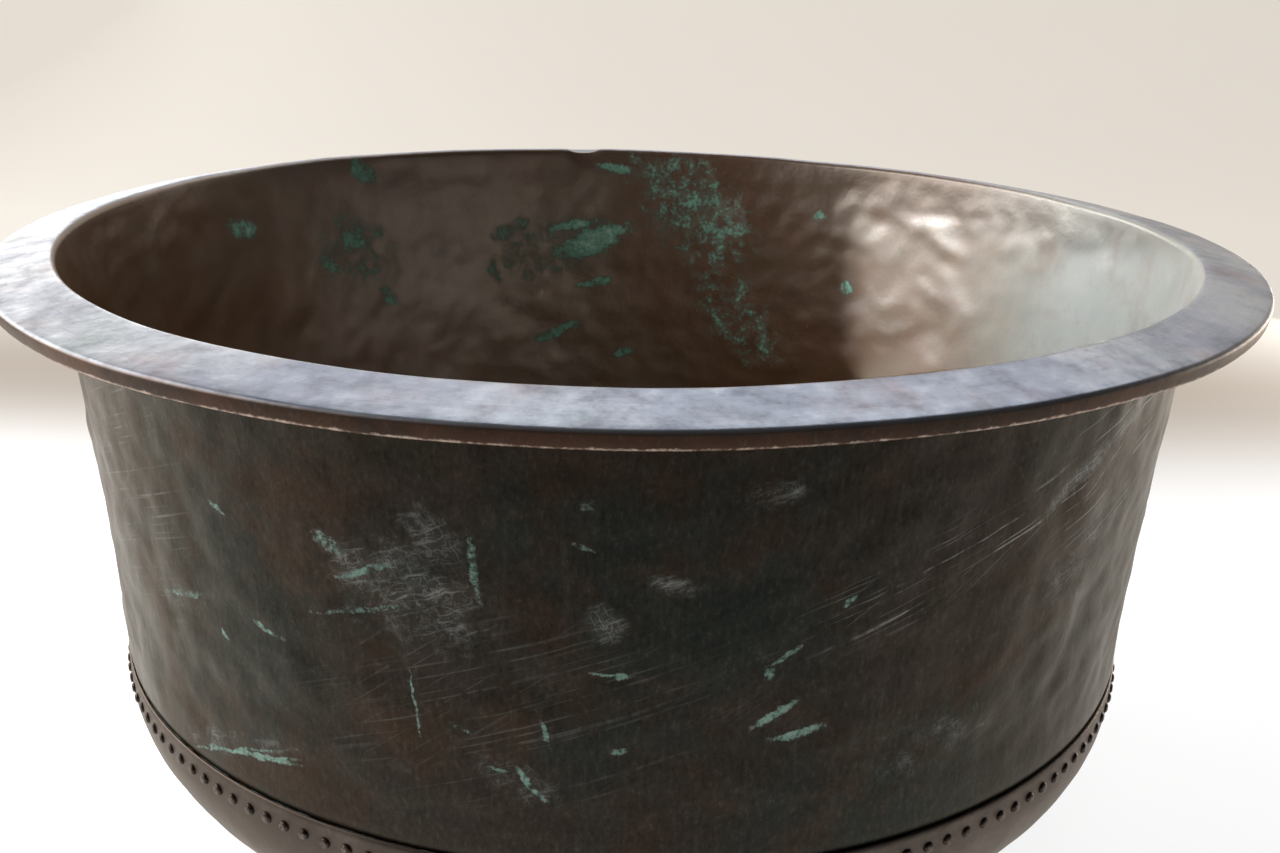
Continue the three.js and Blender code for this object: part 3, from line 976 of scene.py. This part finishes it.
def make_hoop():
    """A flat bar bent round inside the hem, with eased edges and rust pits."""
    far = HOOP_INSET + HOOP_WIDTH
    low = HEM_HEIGHT - HOOP_INSET
    corners = [(HOOP_INSET, HOOP_INSET), (far, HOOP_INSET), (far, low), (HOOP_INSET, low)]
    outline = []
    for n, corner in enumerate(corners):
        here = np.array(corner)
        for other in (corners[n - 1], corners[(n + 1) % 4]):
            way = np.array(other) - here
            outline.append(here + way / np.hypot(*way) * HOOP_EASING)
    ring = []
    for n, place in enumerate(outline):
        after = outline[(n + 1) % len(outline)]
        ring += [in_hem(*(place + (after - place) * t)) for t in (0, 0.5)]
    ring = np.array(ring)
    angles = angles_round(AROUND // 2)
    inwards, down = strain(angles[:, None], ring[None, :, 1])
    section = ring[None] - np.stack([inwards, down], axis=2)
    centre = section.mean(axis=1, keepdims=True)
    way = centre - section
    way /= np.hypot(way[:, :, 0], way[:, :, 1])[:, :, None]
    pits = at_each(surface_points(ring, angles), lambda p: PIT_DEPTH * abs(noise.noise(p / PIT_SIZE)))
    section = section + way * pits[:, :, None]
    x = np.cos(angles)[:, None] * section[:, :, 0]
    y = np.sin(angles)[:, None] * section[:, :, 0]
    points = np.stack([x, y, section[:, :, 1]], axis=2).reshape(-1, 3)
    return add_mesh("rim_hoop_bar", points, ring_faces(len(angles), len(ring), True), iron_material())


def make_solder():
    """A thin ring between the sheets, whose upper edge rises and falls."""
    inner = LAP_RADIUS + SOLDER_GAP
    outer = PAN_RADIUS - SHEET - SOLDER_GAP
    middle = (inner + outer) / 2
    low, high = SOLDER_LOW.z, SOLDER_HIGH.z
    corners = [(inner, low), (outer, low), (outer, high - SOLDER_BEVEL), (middle, high), (inner, high)]
    outline = np.array(corners)
    angles = angles_round(AROUND)
    points = turned(outline, angles)
    uneven = np.array([noise.noise(Vector(p) / 0.012) for p in points])
    upper = points[:, 2] > (low + high) / 2
    points[:, 2] -= upper * SOLDER_UNEVEN * np.abs(uneven)
    faces = ring_faces(len(angles), len(outline), True)
    return add_mesh("seam_solder_bead", points, faces, solder_material())


def place_pieces():
    for piece, slot, nodes in (
        (make_side_wall(), "wall_copper", ["side_wall"]),
        (make_bottom_pan(), "pan_copper", ["bottom_pan"]),
        (make_rivets(), "rivet_copper", CAD_RIVETS),
        (make_hoop(), "hoop_iron", ["rim_hoop"]),
        (make_solder(), "solder", ["seam_solder"]),
    ):
        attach(piece, "root")
        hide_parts(*nodes)


# ---------- Stage, light and camera ----------
FLOOR_NEAR = (0.36, 0.36, 0.36)
FLOOR_FAR = (0.12, 0.11, 0.10)
FLOOR_STAIN = (0.40, 0.36, 0.30)
# The floor's glow is painted light: dim at the front, brighter on the left than on the right.
GLOW_FRONT = (0.30, 0.30, 0.30)
GLOW_LEFT = (1.05, 1.05, 1.05)
GLOW_RIGHT = (0.80, 0.80, 0.80)
GLOW_BEIGE = (0.32, 0.26, 0.205)
GLOW_BACK = (0.66, 0.61, 0.545)
STAGE_FRONT = 6.0
STAGE_BACK = 3.4
STAGE_SIDE = 7.0
STAGE_TOP = 4.0
COVE_RADIUS = 1.0
FLOOR_DROP = 0.3 * MM  # below the vat, so that their faces don't lie in one plane


def floor_material():
    """Near white, warmer towards the back, and bright of itself, as under wide soft light. The glow is
    painted light: brighter on the left, weaker on the right and dim at the front.
    """
    g = Graph("pale_floor")
    split = g.add("ShaderNodeSeparateXYZ")
    g.wire(g.place, split.inputs[0])
    away = split.outputs["Y"]
    # Painted light: the floor glows brighter on the left than on the right.
    painted_light_across = g.mix(g.step(split.outputs["X"], -0.8, 0.8), GLOW_LEFT, GLOW_RIGHT)
    colour = g.mix(g.step(away, 0.4, 1.1), FLOOR_NEAR, FLOOR_FAR)
    mottle = g.noise(3, 4, 0.6)
    colour = g.layer(colour, mottle, 0.08, FLOOR_STAIN)
    # Painted shade: the floor glows dimly at the front.
    glow = g.mix(g.step(away, -0.95, -0.45), GLOW_FRONT, painted_light_across)
    glow = g.mix(g.step(away, 0.40, 0.95), glow, GLOW_BEIGE)
    glow = g.mix(g.step(away, 1.0, 1.6), glow, GLOW_BACK)
    g.wire(glow, g.shader.inputs["Emission Color"])
    g.shader.inputs["Emission Strength"].default_value = 1.0
    return g.finish(colour, 0.9, 0.0, mottle, 0.05, 1.0 * MM)


def make_stage():
    """A pale floor that curves up into a pale wall behind the vat."""
    centre = np.array([STAGE_BACK - COVE_RADIUS, COVE_RADIUS])
    cove = arc(centre, COVE_RADIUS, -math.pi / 2, 0, 16)
    section = np.vstack([[-STAGE_FRONT, 0], cove, [STAGE_BACK, STAGE_TOP]]) - [0, FLOOR_DROP]
    points = [(x, y, z) for y, z in section for x in (-STAGE_SIDE, STAGE_SIDE)]
    faces = [(2 * i, 2 * i + 1, 2 * i + 3, 2 * i + 2) for i in range(len(section) - 1)]
    floor = add_mesh("floor", np.array(points, float), faces, floor_material())


def add_area_light(name, place, target, width, height, watts, colour):
    data = bpy.data.lights.new(name, "AREA")
    data.shape = "RECTANGLE"
    data.size = width
    data.size_y = height
    data.energy = watts
    data.color = colour
    light = bpy.data.objects.new(name, data)
    light.location = place
    way = Vector(target) - light.location
    light.rotation_euler = way.to_track_quat("-Z", "Y").to_euler()
    light.visible_camera = False
    bpy.context.scene.collection.objects.link(light)
    return light


BEAM_TARGET = Vector((0.40, 0.04, 0.29))
BEAM_HEADING = math.radians(10)
BEAM_RISE = math.radians(20)
BEAM_DISTANCE = 1.5
BEAM_WIDTH = 0.636
BEAM_HEIGHT = 0.260
BEAM_SPREAD = 1.5  # degrees
BEAM_ROLL = 10  # degrees


def make_light():
    """Five panels of light and a faint grey world.

    Each panel has a place, a point that it faces, a width, a height, its watts and its colour.
    """
    world = bpy.data.worlds.new("studio")
    world.use_nodes = True
    bpy.context.scene.world = world
    background = world.node_tree.nodes["Background"]
    background.inputs["Color"].default_value = (0.95, 0.96, 1.0, 1)
    background.inputs["Strength"].default_value = 0.06
    # A tall window to the left, whose near end lines up with the edge of the sheen inside.
    add_area_light("window", (-3.2, 0.10, 1.7), (0.2, 0.10, 0.4), 3.5, 2.6, 115, (1.0, 0.98, 0.96))
    # A weaker light carries the sheen round to the right.
    add_area_light("side_fill", (-2.2, 2.45, 1.2), (0, 0, 0.4), 4.0, 1.0, 58, (0.90, 0.96, 1.0))
    # A narrow beam over the left of the rim, which draws the edge of the sheen inside on the right.
    level = Vector((-math.cos(BEAM_HEADING), -math.sin(BEAM_HEADING), 0))
    back = math.cos(BEAM_RISE) * level + math.sin(BEAM_RISE) * Vector((0, 0, 1))
    place = BEAM_TARGET + BEAM_DISTANCE * back
    beam = add_area_light("beam", place, BEAM_TARGET, BEAM_WIDTH, BEAM_HEIGHT, 0.90, (0.80, 0.92, 1.0))
    beam.data.spread = math.radians(BEAM_SPREAD)
    beam.rotation_euler.rotate_axis("Z", math.radians(BEAM_ROLL))
    # A cool panel above and behind, which the flange mirrors.
    add_area_light("overhead", (0.3, 2.6, 3.3), (0, 0, 0.3), 5.0, 2.0, 62, (0.90, 0.94, 1.0))
    # A low panel, under the height of the rim, for the light that a bright floor throws on the right.
    add_area_light("low_right", (1.7, 1.0, 0.22), (0.35, -0.1, 0.25), 1.4, 0.40, 15, (1.0, 0.98, 0.95))


CAMERA_PLACE = Vector((0.0054, -1.0694, 0.6499))
CAMERA_YAW = math.radians(0.265)
CAMERA_PITCH = math.radians(19.207)
CAMERA_ROLL = math.radians(1.361)
LENS = 38.3


def make_camera():
    data = bpy.data.cameras.new("camera")
    data.sensor_width = 36
    data.lens = LENS
    camera = bpy.data.objects.new("camera", data)
    forward = Vector((
        math.sin(CAMERA_YAW) * math.cos(CAMERA_PITCH),
        math.cos(CAMERA_YAW) * math.cos(CAMERA_PITCH),
        -math.sin(CAMERA_PITCH),
    ))
    right = Vector((math.cos(CAMERA_YAW), -math.sin(CAMERA_YAW), 0))
    up = right.cross(forward)
    rolled_right = math.cos(CAMERA_ROLL) * right + math.sin(CAMERA_ROLL) * up
    rolled_up = math.cos(CAMERA_ROLL) * up - math.sin(CAMERA_ROLL) * right
    turn = Matrix((rolled_right, rolled_up, -forward)).transposed()
    camera.matrix_world = Matrix.Translation(CAMERA_PLACE) @ turn.to_4x4()
    bpy.context.scene.collection.objects.link(camera)
    bpy.context.scene.camera = camera


make_stage()
make_light()
make_camera()
place_pieces()

bpy.context.scene.view_settings.view_transform = "Standard"
